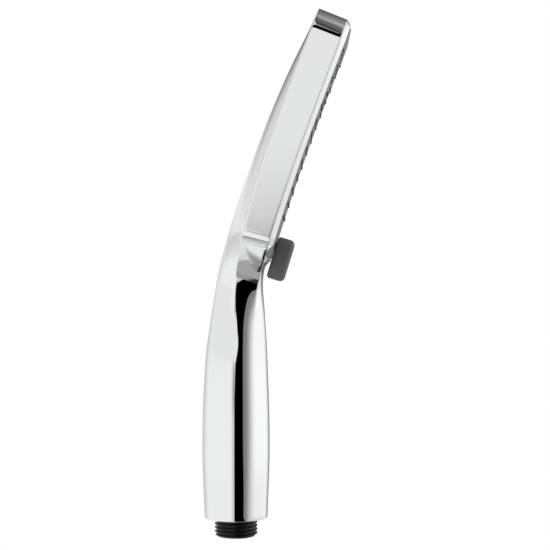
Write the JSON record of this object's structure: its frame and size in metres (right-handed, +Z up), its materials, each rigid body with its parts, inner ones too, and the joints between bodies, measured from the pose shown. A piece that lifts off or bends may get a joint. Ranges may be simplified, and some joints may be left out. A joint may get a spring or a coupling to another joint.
{
  "type": "handheld shower head",
  "caption": "Curved chrome handheld shower head with a spray face, a jet selector lever and a threaded hose inlet.",
  "frame": {"origin": "centre of the hose inlet's end face, on the handle's axis", "axes": "+Z up along the handle, the spray face looks along -Y and slightly down, X across the head; X=0 is the plane of symmetry"},
  "size_m": [0.072, 0.0719, 0.2536],
  "materials": {
    "body_shell": "polished chrome plating on a moulded body",
    "inlet_nipple": "glossy black moulding",
    "inlet_lock_ring": "spring steel",
    "hose_washer_seal": "soft black rubber",
    "inlet_filter_screen": "perforated steel",
    "flow_regulator_body": "moulded",
    "flow_regulator_ring": "soft black rubber",
    "check_valve_body": "moulded",
    "check_valve_poppet": "moulded",
    "check_valve_guide": "moulded",
    "check_valve_spring": "spring wire",
    "waterway_tube": "moulded",
    "tube_seal_lower": "soft black rubber",
    "tube_seal_upper": "soft black rubber",
    "tube_support": "moulded",
    "manifold_body": "moulded",
    "manifold_cover": "moulded",
    "nozzle_mat": "soft grey silicone",
    "face_plate": "satin grey moulding",
    "manifold_screw_1": "stainless",
    "manifold_screw_2": "stainless",
    "manifold_screw_3": "stainless",
    "manifold_screw_4": "stainless",
    "diverter_barrel": "moulded",
    "barrel_spring_washer": "spring steel",
    "spindle_seal": "soft black rubber",
    "selector_lever": "satin grey moulding",
    "lever_screw": "stainless",
    "lever_screw_cap": "satin grey moulding",
    "turbine_rotor": "moulded",
    "turbine_pin": "ground steel"
  },
  "bodies": {
    "shower_body": {"body_shell": "body_shell", "inlet_nipple": "inlet_nipple", "inlet_lock_ring": "inlet_lock_ring", "hose_washer_seal": "hose_washer_seal", "inlet_filter_screen": "inlet_filter_screen", "flow_regulator_body": "flow_regulator_body", "flow_regulator_ring": "flow_regulator_ring", "check_valve_body": "check_valve_body", "check_valve_guide": "check_valve_guide", "check_valve_spring": "check_valve_spring", "waterway_tube": "waterway_tube", "tube_seal_lower": "tube_seal_lower", "tube_seal_upper": "tube_seal_upper", "tube_support": "tube_support", "manifold_body": "manifold_body", "manifold_cover": "manifold_cover", "nozzle_mat": "nozzle_mat", "face_plate": "face_plate", "manifold_screw_1": "manifold_screw_1", "manifold_screw_2": "manifold_screw_2", "manifold_screw_3": "manifold_screw_3", "manifold_screw_4": "manifold_screw_4", "barrel_spring_washer": "barrel_spring_washer", "spindle_seal": "spindle_seal", "turbine_pin": "turbine_pin"},
    "selector": {"selector_lever": "selector_lever", "diverter_barrel": "diverter_barrel", "lever_screw": "lever_screw", "lever_screw_cap": "lever_screw_cap"},
    "turbine": {"turbine_rotor": "turbine_rotor"},
    "check_poppet": {"check_valve_poppet": "check_valve_poppet"}
  },
  "joints": [
    {"name": "selector_turn", "type": "hinge", "parent": "shower_body", "child": "selector", "pos_m": [0, -0.00604, 0.14575], "axis": [0, -0.9559, -0.2937], "range_deg": [-30, 30]},
    {"name": "turbine_spin", "type": "hinge", "parent": "shower_body", "child": "turbine", "pos_m": [0, -0.03053, 0.21715], "axis": [0, -0.9349, -0.3549], "continuous": true},
    {"name": "check_poppet_lift", "type": "slide", "parent": "shower_body", "child": "check_poppet", "axis": [0, 0, 1], "range_m": [0, 0.003], "stiffness_N_per_m": 60, "springref_m": -0.004, "deforming": ["check_valve_spring"]}
  ]
}
